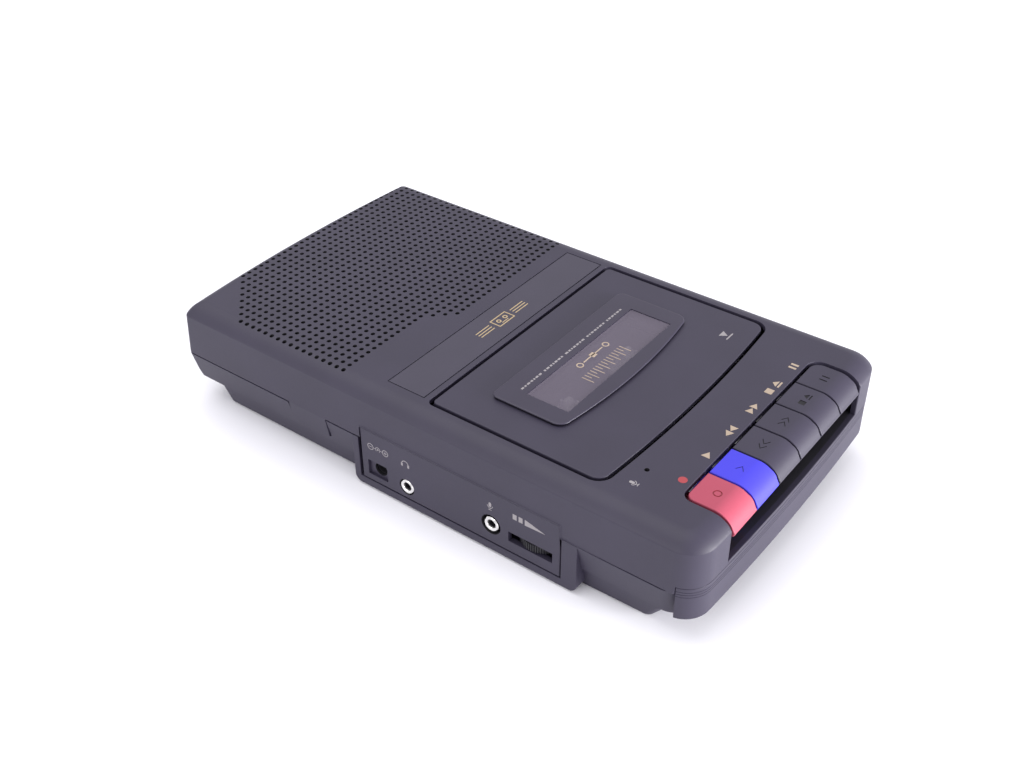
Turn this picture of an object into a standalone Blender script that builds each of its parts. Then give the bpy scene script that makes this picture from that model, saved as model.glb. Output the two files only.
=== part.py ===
"""Portable cassette recorder of the flat "shoebox" kind, built as separate pieces.

Frame: metres, +Z up, origin at the middle of the footprint on the ground.
-Y is the front edge with the keys, +Y the speaker end, -X the side with the sockets.
Lengths below are millimetres; MM turns them into metres.
"""
import math

import bmesh
import bpy
from mathutils import Matrix, Vector

MM = 0.001

# ---- driving dimensions -------------------------------------------------
HALF_W = 71.35           # half the width of the case
TOP_Z = 48.6             # flat top above the ground
FRONT_Y = -124.7         # front face at the corners
REAR_Y = 127.4           # rear end at the corners, at the case seam
FRONT_BOW = 1.4          # how far the middle of the front stands forward
REAR_BOW = 2.6           # how far the middle of the rear stands back
CENTRE_Y = -1.95         # brings the middle of the footprint to the origin at the end
REAR_LEAN = 1.6          # the rear wall leans forward by this up to the crease
REAR_CORNER_R = 2.8      # rounding of the two rear corners in plan
SHOULDER_R = 10.9        # rounding between the top and the side walls
SHOULDER_DEG = 55.2      # it stops here, at a crease line
WALL = 2.3
GAP = 0.3                # gap between neighbouring pieces
SEAM_Z = 24.3            # joint between upper and lower case
RIDGE_Z = 11.5           # under edge of the sloping skirt
RIDGE_HALF_W = 68.3
BASE_Z = 1.0             # underside of the base block
BASE_HALF_W = 64.8
HANDLE_Z = (13.2, 28.0)  # carrying handle, bottom and top
HANDLE_Y = -116.2        # rear ends of the handle's two sides
BAY_HALF_W = 51.2        # key bay
BAY_REAR_Y = -104.1
BAY_FLOOR_Z = 29.8
DOOR_HALF_W = 60.4
DOOR_REAR_Y = -1.6
DOOR_FRONT_Y = -78.4
DOOR_BOW = 2.4
DOOR_GAP = 1.7
HINGE_Y, HINGE_Z = -3.2, 46.9
HUB_X = 21.25            # half the spacing of the two spindles
HUB_Y = -37.5
DECK_Z = 31.0            # top of the tape chassis
KEY_PITCH = 16.7
KEY_GAP = 0.8
KEY_ROD = (-97.0, 35.0)  # y and z of the keys' common pivot
KEY_ROD_R = 1.5
PANEL_Y = (-68.9, 27.2)  # socket panel on the left side
PANEL_Z = 5.1
WHEEL_X, WHEEL_Y, WHEEL_Z = -61.3, -55.7, 12.5
WHEEL_R = 10.0
EARPHONE = (4.0, 10.8)   # y and z of the socket centres
MIC_SOCKET = (-37.5, 13.9)
DC_SOCKET = (18.2, 12.0)
SPEAKER_Y = 76.8
SPEAKER_R = 38.0
BATTERY_Y = (54.6, 107.2)
BATTERY_HALF_W = 52.5
CAPSTAN = (33.0, -63.5)
PINCH_PIVOT = (49.0, -77.0)
PINCH_ROLLER = (34.0, -75.5)
MOTOR = (-30.0, -62.0)
SCREWS = [(-54.0, -72.0), (54.0, -72.0), (-59.0, 64.0), (59.0, 64.0)]

COLOURS = {
    "charcoal": ((0.085, 0.078, 0.112), 0.55, 0.0),
    "dark": ((0.03, 0.028, 0.04), 0.5, 0.0),
    "gloss": ((0.05, 0.048, 0.06), 0.15, 0.0),
    "red": ((0.75, 0.13, 0.19), 0.45, 0.0),
    "blue": ((0.09, 0.09, 0.82), 0.45, 0.0),
    "clear": ((0.25, 0.24, 0.28), 0.1, 0.0),
    "steel": ((0.6, 0.6, 0.62), 0.35, 1.0),
    "nickel": ((0.8, 0.79, 0.76), 0.2, 1.0),
    "brass": ((0.75, 0.58, 0.3), 0.35, 1.0),
    "rubber": ((0.02, 0.02, 0.02), 0.8, 0.0),
    "board": ((0.45, 0.3, 0.12), 0.6, 0.0),
    "paper": ((0.06, 0.055, 0.05), 0.9, 0.0),
    "ivory": ((0.75, 0.72, 0.65), 0.5, 0.0),
    "ferrite": ((0.07, 0.07, 0.075), 0.5, 0.0),
}


# ---- scene and material helpers -----------------------------------------
def clear_scene():
    for thing in list(bpy.data.objects):
        bpy.data.objects.remove(thing, do_unlink=True)


clear_scene()
PARTS = bpy.data.collections.new("cassette_recorder")
CUTTERS = bpy.data.collections.new("cutters")
bpy.context.scene.collection.children.link(PARTS)
bpy.context.scene.collection.children.link(CUTTERS)


def material(slot):
    found = bpy.data.materials.get(slot)
    if found:
        return found
    colour, rough, metal = COLOURS[slot]
    made = bpy.data.materials.new(slot)
    made.use_nodes = True
    shader = made.node_tree.nodes["Principled BSDF"]
    shader.inputs["Base Color"].default_value = (*colour, 1.0)
    shader.inputs["Roughness"].default_value = rough
    shader.inputs["Metallic"].default_value = metal
    return made


def add_object(name, bm, slot=None, origin=None):
    """Store a bmesh in millimetres as an object; no slot means a cutter."""
    bmesh.ops.recalc_face_normals(bm, faces=bm.faces)
    bmesh.ops.scale(bm, vec=(MM, MM, MM), verts=bm.verts)
    if origin:
        bmesh.ops.translate(bm, vec=[-c * MM for c in origin], verts=bm.verts)
    mesh = bpy.data.meshes.new(name)
    bm.to_mesh(mesh)
    bm.free()
    thing = bpy.data.objects.new(name, mesh)
    if origin:
        thing.location = [c * MM for c in origin]
    if slot:
        mesh.materials.append(material(slot))
        mesh.shade_smooth()
        mesh.set_sharp_from_angle(angle=math.radians(35))
        PARTS.objects.link(thing)
    else:
        thing.hide_render = True
        thing.display_type = "WIRE"
        CUTTERS.objects.link(thing)
    return thing


def combine(thing, other, operation):
    step = thing.modifiers.new(f"{operation.lower()}_{other.name}"[:60], "BOOLEAN")
    step.operation = operation
    step.object = other
    step.solver = "EXACT"
    return thing


def cut(thing, *others):
    for other in others:
        combine(thing, other, "DIFFERENCE")


def join(thing, *others):
    for other in others:
        combine(thing, other, "UNION")


# ---- shape helpers (all in millimetres) ----------------------------------
def box(name, x, y, z, slot=None, bevel=0.0, origin=None):
    bm = bmesh.new()
    bmesh.ops.create_cube(bm, size=1.0)
    size = (x[1] - x[0], y[1] - y[0], z[1] - z[0])
    centre = ((x[0] + x[1]) / 2, (y[0] + y[1]) / 2, (z[0] + z[1]) / 2)
    bmesh.ops.scale(bm, vec=size, verts=bm.verts)
    bmesh.ops.translate(bm, vec=centre, verts=bm.verts)
    if bevel:
        bmesh.ops.bevel(bm, geom=bm.edges[:], offset=bevel, segments=1, affect="EDGES")
    return add_object(name, bm, slot, origin)


def cylinder(name, centre, radius, length, axis="Z", slot=None, sides=32, r2=None, origin=None):
    """Cylinder or cone frustum centred on the given point."""
    bm = bmesh.new()
    turn = {"X": Matrix.Rotation(math.pi / 2, 4, "Y"),
            "Y": Matrix.Rotation(-math.pi / 2, 4, "X"),
            "Z": Matrix.Identity(4)}[axis]
    bmesh.ops.create_cone(bm, cap_ends=True, segments=sides, radius1=radius,
                          radius2=radius if r2 is None else r2, depth=length,
                          matrix=Matrix.Translation(centre) @ turn)
    return add_object(name, bm, slot, origin)


def prism(name, outline, low, high, axis="Z", slot=None, origin=None):
    """Extrude a flat outline; for X it is (y, z) points, for Y (x, z), for Z (x, y)."""
    place = {"X": lambda a, b, c: (c, a, b),
             "Y": lambda a, b, c: (a, c, b),
             "Z": lambda a, b, c: (a, b, c)}[axis]
    bm = bmesh.new()
    face = bm.faces.new([bm.verts.new(place(a, b, low)) for a, b in outline])
    raised = bmesh.ops.extrude_face_region(bm, geom=[face])
    moved = [v for v in raised["geom"] if isinstance(v, bmesh.types.BMVert)]
    bmesh.ops.translate(bm, vec=place(0, 0, high - low), verts=moved)
    return add_object(name, bm, slot, origin)


def turned(name, profile, centre, slot=None, sides=32, origin=None):
    """Spin (radius, height) points, listed down the outer side, about a vertical axis."""
    bm = bmesh.new()
    chain = [bm.verts.new((r, 0, z)) for r, z in profile]
    for first, second in zip(chain, chain[1:]):
        bm.edges.new((first, second))
    if profile[0][0] > 1e-6 and profile[-1][0] > 1e-6:
        bm.edges.new((chain[-1], chain[0]))
    bmesh.ops.spin(bm, geom=bm.verts[:] + bm.edges[:], cent=(0, 0, 0), axis=(0, 0, 1),
                   angle=2 * math.pi, steps=sides, use_merge=True, use_duplicate=False)
    bmesh.ops.remove_doubles(bm, verts=bm.verts, dist=1e-3)
    bmesh.ops.translate(bm, vec=centre, verts=bm.verts)
    return add_object(name, bm, slot, origin)


def arc(centre, radius, start, end, steps):
    """Points on a circle, from one angle to another in degrees."""
    spots = []
    for i in range(steps + 1):
        angle = math.radians(start + (end - start) * i / steps)
        spots.append((centre[0] + radius * math.cos(angle),
                      centre[1] + radius * math.sin(angle)))
    return spots


def bowed_outline(half_w, front, rear, r_front, r_rear, bow_front=0.0, bow_rear=0.0,
                  corner=5, along=8):
    """Rounded rectangle, counter-clockwise, whose front and rear edges may bulge out."""
    points = []

    def edge(x_from, x_to, y, bow, skip_ends=True):
        span = max(abs(x_from), abs(x_to))
        for i in range(1, along):
            x = x_from + (x_to - x_from) * i / along
            points.append((x, y + bow * (1 - (x / span) ** 2)))

    points += arc((-half_w + r_front, front + r_front), r_front, 180, 270, corner)
    edge(-half_w + r_front, half_w - r_front, front, -bow_front)
    points += arc((half_w - r_front, front + r_front), r_front, 270, 360, corner)
    points += arc((half_w - r_rear, rear - r_rear), r_rear, 0, 90, corner)
    edge(half_w - r_rear, -half_w + r_rear, rear, bow_rear)
    points += arc((-half_w + r_rear, rear - r_rear), r_rear, 90, 180, corner)
    return points


def loft(name, sections, slot=None, origin=None):
    """Skin flat outlines of equal point count, given as (height, outline) pairs."""
    bm = bmesh.new()
    rings = [[bm.verts.new((x, y, z)) for x, y in pts] for z, pts in sections]
    for low, high in zip(rings, rings[1:]):
        count = len(low)
        for i in range(count):
            j = (i + 1) % count
            bm.faces.new((low[i], low[j], high[j], high[i]))
    bm.faces.new(list(reversed(rings[0])))
    bm.faces.new(rings[-1])
    return add_object(name, bm, slot, origin)


# ---- the case -------------------------------------------------------------
def case_section(height):
    """Outline of the outer case at a height above the seam."""
    crease_z = TOP_Z - SHOULDER_R * (1 - math.cos(math.radians(SHOULDER_DEG)))
    if height <= crease_z:
        lean = REAR_LEAN * (crease_z - height) / (crease_z - SEAM_Z)
        return bowed_outline(HALF_W, FRONT_Y, REAR_Y - REAR_LEAN + lean, 11.0, REAR_CORNER_R,
                             FRONT_BOW, REAR_BOW)
    drop = TOP_Z - height
    angle = math.acos(1 - drop / SHOULDER_R)
    inset = SHOULDER_R * (math.sin(math.radians(SHOULDER_DEG)) - math.sin(angle))
    return bowed_outline(HALF_W - inset, FRONT_Y + inset, REAR_Y - REAR_LEAN - 0.6 * inset,
                         11.0 - inset, REAR_CORNER_R - 0.2 * inset, FRONT_BOW, REAR_BOW)


def shoulder_heights():
    steps = 4
    angles = [math.radians(SHOULDER_DEG * i / steps) for i in range(steps, -1, -1)]
    return [TOP_Z - SHOULDER_R * (1 - math.cos(a)) for a in angles]


def door_outline(grow):
    """The lid's outline in plan, grown outwards by a given amount."""
    return bowed_outline(DOOR_HALF_W + grow, DOOR_FRONT_Y - grow, DOOR_REAR_Y + min(grow, 1.5),
                         5.0 + grow, 2.0 + 0.5 * grow, DOOR_BOW, 0.0, 4, 6)


def upper_case():
    heights = [SEAM_Z + 0.15] + shoulder_heights()
    body = loft("upper_case", [(z, case_section(z)) for z in heights], "charcoal")
    hollow = [
        (SEAM_Z - 3, bowed_outline(HALF_W - WALL, FRONT_Y + WALL, REAR_Y - WALL, 8, 4, 1.4, 2)),
        (42.0, bowed_outline(HALF_W - WALL, FRONT_Y + WALL, REAR_Y - REAR_LEAN - WALL, 8, 4, 1.4, 2)),
        (TOP_Z - 2.2, bowed_outline(62.0, FRONT_Y + 10, REAR_Y - 8, 3, 4, 1.4, 2)),
    ]
    cut(body, loft("cut_upper_hollow", hollow))
    panel = box("join_panel", (-HALF_W, -HALF_W + WALL), PANEL_Y, (PANEL_Z, SEAM_Z + 6))
    tongue = prism("join_tongue", [(-HALF_W, 26.0), (-HALF_W, SEAM_Z), (-69.75, 15.0),
                                   (-67.7, 15.0), (-68.9, 26.0)], 46.3, 66.7, "Y")
    sill = box("join_sill", (-58, 58), (FRONT_Y + 0.6, -108.0), (28.3, BAY_FLOOR_Z))
    left = box("join_bay_left", (-BAY_HALF_W - 1.8, -BAY_HALF_W), (FRONT_Y + 4, -104), (29, 47))
    right = box("join_bay_right", (BAY_HALF_W, BAY_HALF_W + 1.8), (FRONT_Y + 4, -104), (29, 47))
    join(body, panel, tongue, sill, left, right)
    cut(body,
        prism("cut_door", door_outline(DOOR_GAP), 40, 60),
        prism("cut_bay", arc((BAY_HALF_W - 5, BAY_REAR_Y - 5), 5, 0, 90, 4)
              + arc((-BAY_HALF_W + 5, BAY_REAR_Y - 5), 5, 90, 180, 4)
              + [(-BAY_HALF_W, -140), (BAY_HALF_W, -140)], BAY_FLOOR_Z, 60),
        box("cut_over_handle", (-80, 80), (-140, HANDLE_Y + 0.3), (0, 28.3)),
        box("cut_name_strip", (-60.3, 61.0), (2.4, 20.8), (TOP_Z - 0.4, 60)),
        cylinder("cut_mic_hole", (-45.8, -87.6, 47), 1.0, 6, sides=12),
        box("cut_dc_recess", (-80, -HALF_W + 1.2), (13.8, 24.0), (8.1, 15.3)),
        cylinder("cut_dc_hole", (-70, *DC_SOCKET), 3.1, 8, "X", sides=20),
        cylinder("cut_earphone", (-70, *EARPHONE), 3.7, 8, "X", sides=20),
        cylinder("cut_mic_socket", (-70, *MIC_SOCKET), 4.5, 8, "X", sides=20),
        box("cut_wheel_slot", (-80, -66), (-65.6, -45.6), (10.2, 14.9)))
    return body


def lower_case():
    rear = REAR_Y
    skirt = [
        (RIDGE_Z, bowed_outline(RIDGE_HALF_W, -118.0, rear - 1.6, 8, 2.8, 0, REAR_BOW)),
        (15.0, bowed_outline(69.1, -118.0, rear - 0.5, 8, 2.8, 0, REAR_BOW)),
        (SEAM_Z - 0.15, bowed_outline(HALF_W, -118.0, rear, 8, 2.8, 0, REAR_BOW)),
    ]
    body = loft("lower_case", skirt, "charcoal")
    base = loft("join_base", [(BASE_Z, bowed_outline(BASE_HALF_W, -104.2, 112.8, 3, 3)),
                              (RIDGE_Z + 1.0, bowed_outline(67.3, -112.5, 116.1, 3, 3))])
    frame = box("join_frame", (-HALF_W, -60.0), (-76.2, 31.8), (BASE_Z, SEAM_Z - 0.15))
    join(body, base, frame)
    for i, (x, y) in enumerate(SCREWS, 1):
        cut(body, cylinder(f"cut_screw_well_{i}", (x, y, 0.5), 3.2, 4.0, sides=16))
    hollow = [
        (BASE_Z + 2.2, bowed_outline(61.5, -101.0, 110.0, 3, 3)),
        (RIDGE_Z + 2.0, bowed_outline(65.3, -112.0, rear - 5.0, 6, 4, 0, 2)),
        (SEAM_Z + 3, bowed_outline(HALF_W - 2.6, -114.6, rear - 2.6, 6, 4, 0, 2)),
    ]
    cut(body, loft("cut_lower_hollow", hollow),
        box("cut_corner_left", (-80, -64.2), (-140, HANDLE_Y + 0.4), (0, 40)),
        box("cut_corner_right", (64.2, 80), (-140, HANDLE_Y + 0.4), (0, 40)),
        box("cut_panel_window", (-80, -59.5), (PANEL_Y[0] - 0.4, PANEL_Y[1] + 1.4), (4.6, 40)),
        box("cut_tongue_slot", (-80, -66.5), (45.9, 67.1), (14.7, 40)),
        box("cut_arm_slot_left", (-63.8, -58.6), (-130, -105), (17.4, 40)),
        box("cut_arm_slot_right", (58.6, 63.8), (-130, -105), (17.4, 40)))
    x_in, (y0, y1) = BATTERY_HALF_W, BATTERY_Y
    tub = box("join_battery_tub", (-x_in - 2, x_in + 2), (y0 - 2, y1 + 1.5), (2.0, 30.8))
    join(body, tub)
    cut(body, box("cut_battery_tub", (-x_in, x_in), (y0, y1), (-5, 29.4)),
        prism("cut_cover", [(y0 - 1, -5), (120, -5), (120, 9.3), (y1 - 5, 9.3), (y1 - 5, 3.5),
                            (y0 - 1, 3.5)], -53.4, 53.4, "X"))
    return body


def battery_cover():
    front = BATTERY_Y[0] - 0.6
    return prism("battery_cover", [(front, BASE_Z), (112.6, BASE_Z), (114.9, 8.9),
                                   (113.1, 8.9), (111.5, 3.1), (front, 3.1)],
                 -53.0, 53.0, "X", "charcoal")


def carry_handle():
    low, high = HANDLE_Z
    ring = bowed_outline(HALF_W, FRONT_Y, -90.0, 11.0, 3.0, FRONT_BOW, 0.0)
    foot = bowed_outline(HALF_W - 0.5, FRONT_Y + 0.5, -90.0, 10.5, 3.0, FRONT_BOW, 0.0)
    bar = loft("carry_handle", [(low, foot), (low + 0.6, ring), (high, ring)], "charcoal")
    cut(bar, box("cut_handle_rear", (-90, 90), (HANDLE_Y, 0), (0, 60)),
        box("cut_handle_middle", (-64.5, 64.5), (-118.5, -80), (0, 60)))
    for side, label in ((-1, "left"), (1, "right")):
        xs = sorted((side * 59.2, side * 63.2))
        join(bar, box(f"join_arm_{label}", xs, (-120.5, -74.0), (18.0, 23.6)))
    return bar


# ---- cassette door ----------------------------------------------------------
def cassette_door():
    origin = (0, HINGE_Y, HINGE_Z)
    lid = prism("cassette_door", door_outline(0), TOP_Z - 2.2, TOP_Z, "Z", "charcoal", origin)
    for side, label in ((-1, "left"), (1, "right")):
        ear = cylinder(f"join_pin_{label}", (side * 57.5, HINGE_Y, HINGE_Z - 0.4), 1.6, 5.2, "X",
                       sides=16)
        join(lid, ear)
    cut(lid, prism("cut_window", [(-37.6, -48.6), (37.6, -48.6), (37.6, -27.2), (-37.6, -27.2)],
                   40, 60))
    return lid


def bezel_outline(half_w, front, rear, bow):
    return bowed_outline(half_w, front, rear, 5.0, 3.0, bow, 0.0, 4, 8)


def door_bezel():
    """Glossy raised surround of the window, with the window opening through it."""
    low, high = TOP_Z + 0.3, TOP_Z + 1.5
    frame = loft("door_bezel", [(low, bezel_outline(45.2, -51.2, -17.6, 3.2)),
                                (high - 0.5, bezel_outline(45.2, -51.2, -17.6, 3.2)),
                                (high, bezel_outline(44.6, -50.6, -18.2, 3.2))], "gloss")
    cut(frame, prism("cut_bezel", [(-36.7, -47.6), (36.7, -47.6), (36.7, -28.4), (-36.7, -28.4)],
                     40, 60))
    return frame


def door_window():
    return box("door_window", (-36.4, 36.4), (-47.3, -28.7), (TOP_Z - 0.6, TOP_Z + 0.9), "clear")


def cassette_holder():
    """Pocket under the lid, open to the front, with a lip along each side."""
    z_top = TOP_Z - 2.5
    pocket = box("cassette_holder", (-54.0, 54.0), (-66.0, -5.6), (32.3, z_top), "dark")
    cut(pocket, box("cut_pocket", (-52.6, 52.6), (-80.0, -7.2), (33.3, 60.0)),
        box("cut_pocket_floor", (-48.5, 48.5), (-80.0, -9.0), (30.0, 40.0)))
    return pocket


def cassette_spring(name, x):
    """Bent leaf that presses the cassette down from inside the lid."""
    outline = [(-10.0, 46.0), (-24.0, 46.0), (-25.0, 45.7), (-19.0, 43.4), (-14.0, 45.3),
               (-10.0, 45.3)]
    return prism(name, outline, x - 3.0, x + 3.0, "X", "steel")


# ---- keys ---------------------------------------------------------------------
def key_corner(name, side):
    """Cutter that rounds an end key's rear corner to follow the bay."""
    radius = 5.0 - 1.4
    centre = (side * (BAY_HALF_W - 5.0), BAY_REAR_Y - 5.0)
    curve = [(side * abs(x), y) for x, y in arc((abs(centre[0]), centre[1]), radius, 0, 90, 5)]
    outline = curve + [(centre[0], -95.0), (side * 70.0, -95.0), (side * 70.0, centre[1])]
    return prism(name, outline, 40.0, 60.0)


def key(name, index, slot):
    centre = (index - 2.5) * KEY_PITCH
    half = (KEY_PITCH - KEY_GAP) / 2
    origin = (centre, *KEY_ROD)
    cap = [(-105.5, TOP_Z - 0.3)] + arc((-116.2, TOP_Z - 9.8), 9.5, 90, 158, 5)
    cap += [(-125.6, TOP_Z - 7.2), (-124.9, TOP_Z - 8.5), (-122.9, TOP_Z - 8.3),
            (-120.6, TOP_Z - 4.9), (-116.0, TOP_Z - 2.9), (-107.5, TOP_Z - 2.9),
            (-107.5, TOP_Z - 7.0), (-105.5, TOP_Z - 7.0)]
    body = prism(name, cap, centre - half, centre + half, "X", slot, origin)
    lever = [(-107.4, TOP_Z - 2.0), (-119.5, TOP_Z - 3.6), (-121.5, 41.2), (-104.0, 33.2),
             (-97.0, 31.6), (-94.0, 33.0), (-94.0, 37.4), (-97.5, 39.0), (-104.5, 42.5),
             (-105.6, TOP_Z - 3.0)]
    join(body, prism(f"join_{name}_lever", lever, centre - 2.5, centre + 2.5, "X"))
    cut(body, cylinder(f"cut_{name}_eye", (centre, *KEY_ROD), KEY_ROD_R + 0.05, 12, "X",
                       sides=16))
    if index in (0, 5):
        cut(body, key_corner(f"cut_{name}_corner", -1 if index == 0 else 1))
    return body


def key_rod():
    (y, z) = KEY_ROD
    return cylinder("key_rod", (0, y, z), KEY_ROD_R, 112.0, "X", "steel", sides=16)


# ---- tape mechanism ------------------------------------------------------------
def tape_chassis():
    deck = box("tape_chassis", (-56.5, 56.5), (-99.5, -9.5), (DECK_Z - 1.2, DECK_Z), "steel")
    cut(deck,
        cylinder("cut_capstan", (*CAPSTAN, DECK_Z), 1.6, 8, sides=16),
        cylinder("cut_motor", (*MOTOR, DECK_Z), 5.0, 8, sides=20),
        cylinder("cut_hub_left", (-HUB_X, HUB_Y, DECK_Z), 1.4, 8, sides=12),
        cylinder("cut_hub_right", (HUB_X, HUB_Y, DECK_Z), 1.4, 8, sides=12))
    return deck


def key_bracket(name, x):
    """Upright plate on the deck that carries one end of the key rod."""
    low, high = DECK_Z + GAP, 38.2
    outline = [(-99.2, low), (-88.0, low), (-88.0, low + 2.0), (-95.0, high), (-99.2, high)]
    plate = prism(name, outline, x - 1.0, x + 1.0, "X", "steel")
    cut(plate, cylinder(f"cut_{name}", (x, *KEY_ROD), KEY_ROD_R + 0.3, 8, "X", sides=16))
    return plate


def spindle(name, x, slot):
    """Turned reel carrier with three drive wings near the top."""
    profile = [(0.0, 12.0), (1.2, 11.8), (2.4, 10.2), (2.7, 8.0), (2.7, 3.6), (7.2, 3.0),
               (8.0, 2.6), (8.0, 0.8), (3.0, 0.4), (1.2, 0.4), (1.2, -3.4), (0.0, -3.4)]
    origin = (x, HUB_Y, DECK_Z)
    body = turned(name, [(r, z + DECK_Z) for r, z in profile], (x, HUB_Y, 0), slot, 20, origin)
    for i in range(3):
        angle = math.radians(90 + 120 * i)
        bm = bmesh.new()
        bmesh.ops.create_cube(bm, size=1.0)
        bmesh.ops.scale(bm, vec=(2.4, 1.1, 6.0), verts=bm.verts)
        bmesh.ops.translate(bm, vec=(3.0, 0, 6.4), verts=bm.verts)
        bmesh.ops.rotate(bm, cent=(0, 0, 0), matrix=Matrix.Rotation(angle, 3, "Z"), verts=bm.verts)
        bmesh.ops.translate(bm, vec=(x, HUB_Y, DECK_Z), verts=bm.verts)
        join(body, add_object(f"join_{name}_wing_{i}", bm))
    return body


def flywheel():
    """Heavy wheel under the deck with the capstan shaft standing up through it."""
    x, y = CAPSTAN
    profile = [(0.0, 43.5), (1.0, 43.3), (1.0, 24.0), (19.0, 24.0), (19.0, 26.2),
               (22.0, 26.2), (22.0, 16.0), (19.0, 16.0), (19.0, 18.4), (4.0, 18.4),
               (4.0, 15.0), (1.0, 14.6), (1.0, 12.4), (0.0, 12.4)]
    return turned("flywheel", profile, (x, y, 0), "brass", 40, (x, y, 21.0))


def motor():
    x, y = MOTOR
    profile = [(0.0, 29.3), (14.0, 29.3), (15.0, 28.6), (15.0, 23.2), (14.2, 22.4), (3.0, 22.4),
               (3.0, 21.6), (0.0, 21.6)]
    return turned("motor", profile, (x, y, 0), "steel", 32)


def motor_pulley():
    x, y = MOTOR
    profile = [(0.0, 21.2), (4.4, 21.2), (4.4, 20.4), (3.6, 19.9), (3.6, 18.1), (4.4, 17.6),
               (4.4, 16.8), (0.0, 16.8)]
    return turned("motor_pulley", profile, (x, y, 0), "brass", 20, (x, y, 19.0))


def drive_belt():
    """Flat loop round the motor pulley and the flywheel, kept a hair clear of both."""
    (x1, y1), (x2, y2) = MOTOR, CAPSTAN

    def loop(grow):
        r1, r2 = 3.9 + grow, 22.3 + grow
        span = math.hypot(x2 - x1, y2 - y1)
        lean = math.degrees(math.acos((r1 - r2) / span))
        heading = math.degrees(math.atan2(y2 - y1, x2 - x1))
        small = arc((x1, y1), r1, heading + lean, heading + 360 - lean, 8)
        large = arc((x2, y2), r2, heading - lean, heading + lean, 20)
        return small + large

    belt = prism("drive_belt", loop(0.5), 18.3, 19.7, "Z", "rubber")
    cut(belt, prism("cut_belt", loop(0.0), 10, 30))
    return belt


def head_plate():
    """Sliding plate that carries the heads towards the cassette."""
    plate = box("head_plate", (-36.0, 24.0), (-89.5, -74.0), (DECK_Z + 0.3, DECK_Z + 1.3), "steel")
    return plate


def head_block(name, x, width, height, slot):
    y = -79.0
    low = DECK_Z + 1.6
    block = box(name, (x - width / 2, x + width / 2), (y - 4.5, y + 3.0), (low, low + height),
                slot)
    nose = cylinder(f"join_{name}_nose", (x, y + 1.4, low + height / 2), width * 0.36, height,
                    slot=None, sides=20)
    join(block, nose)
    return block


def pinch_arm():
    """Swinging arm that presses the rubber roller against the capstan."""
    outline = [(30.5, -78.5), (52.0, -80.0), (52.5, -74.0), (38.5, -73.0), (30.5, -73.0)]
    arm = prism("pinch_arm", outline, DECK_Z + 0.3, DECK_Z + 1.4, "Z", "steel",
                (*PINCH_PIVOT, DECK_Z))
    pin = cylinder("join_pinch_pin", (*PINCH_ROLLER, DECK_Z + 6.5), 1.0, 12.0, sides=12)
    join(arm, pin)
    return arm


def pinch_roller():
    profile = [(1.05, 41.5), (5.6, 41.5), (5.8, 41.2), (5.8, 33.2), (5.6, 32.9), (1.05, 32.9)]
    return turned("pinch_roller", profile, (*PINCH_ROLLER, 0), "rubber", 24, (*PINCH_ROLLER, 37.0))


# ---- sound, sockets and electrics ------------------------------------------------
def speaker():
    z = TOP_Z - 2.5
    basket = turned("speaker_frame", [(SPEAKER_R, z), (SPEAKER_R, z - 1.0), (33.5, z - 1.6),
                                      (19.0, z - 8.4), (13.0, z - 8.4), (13.0, z - 7.4),
                                      (18.4, z - 7.4), (32.6, z - 0.9), (33.0, z)],
                    (0, SPEAKER_Y, 0), "steel", 36)
    magnet = cylinder("speaker_magnet", (0, SPEAKER_Y, 34.3), 16.0, 6.0, slot="ferrite", sides=32)
    cone = turned("speaker_cone", [(0.0, z - 4.6), (6.0, z - 4.9), (9.0, z - 5.9),
                                   (29.5, z - 0.4), (31.0, z), (32.2, z - 0.2),
                                   (32.2, z - 0.7), (30.0, z - 1.2), (10.0, z - 6.6),
                                   (0.0, z - 6.6)],
                  (0, SPEAKER_Y, 0), "paper", 32)
    return basket, magnet, cone


def socket(name, place, slot):
    """Round nut in the panel with a plain round body behind it."""
    y, z = place
    nut = cylinder(name, (-66.5, y, z), 3.3, 9.6, "X", slot, sides=24)
    body = box(f"join_{name}_body", (-68.4, -54.5), (y - 4.6, y + 4.6), (z - 4.0, z + 4.0))
    join(nut, body)
    cut(nut, cylinder(f"cut_{name}_bore", (-66.5, y, z), 1.8, 22, "X", sides=16))
    return nut


def dc_jack():
    y, z = DC_SOCKET
    shell = box("dc_jack", (-68.7, -56.0), (y - 4.8, y + 4.8), (z - 4.0, z + 5.2), "dark")
    cut(shell, cylinder("cut_dc_bore", (-66.0, y, z), 2.75, 14, "X", sides=20))
    pin = cylinder("dc_pin", (-63.4, y, z), 0.65, 8.6, "X", "nickel", sides=12)
    return shell, pin


def volume_control():
    wheel = cylinder("volume_wheel", (WHEEL_X, WHEEL_Y, WHEEL_Z), WHEEL_R, 3.2, slot="dark",
                     sides=40, origin=(WHEEL_X, WHEEL_Y, WHEEL_Z))
    stem = cylinder("join_volume_stem", (WHEEL_X, WHEEL_Y, WHEEL_Z + 3.0), 2.0, 3.4, sides=16)
    join(wheel, stem)
    pot = box("volume_pot", (WHEEL_X - 6.5, WHEEL_X + 6.5), (WHEEL_Y - 6.5, WHEEL_Y + 6.5),
              (WHEEL_Z + 5.0, WHEEL_Z + 9.5), "ferrite")
    return wheel, pot


def main_board():
    return box("main_board", (-52.0, -2.0), (-40.0, 52.0), (8.0, 9.6), "board")


def board_parts():
    can = cylinder("filter_capacitor", (-14.0, 10.0, 16.0), 5.0, 12.0, slot="dark", sides=20)
    chip = box("amplifier_chip", (-44.0, -26.0), (24.0, 31.0), (9.9, 13.4), "ferrite")
    switch = box("record_switch", (-48.0, -42.0), (-38.0, 8.0), (9.9, 17.5), "ivory")
    return can, chip, switch


def mic_capsule():
    return cylinder("mic_capsule", (-45.8, -87.6, 43.2), 4.0, 5.6, slot="nickel", sides=24)


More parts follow.
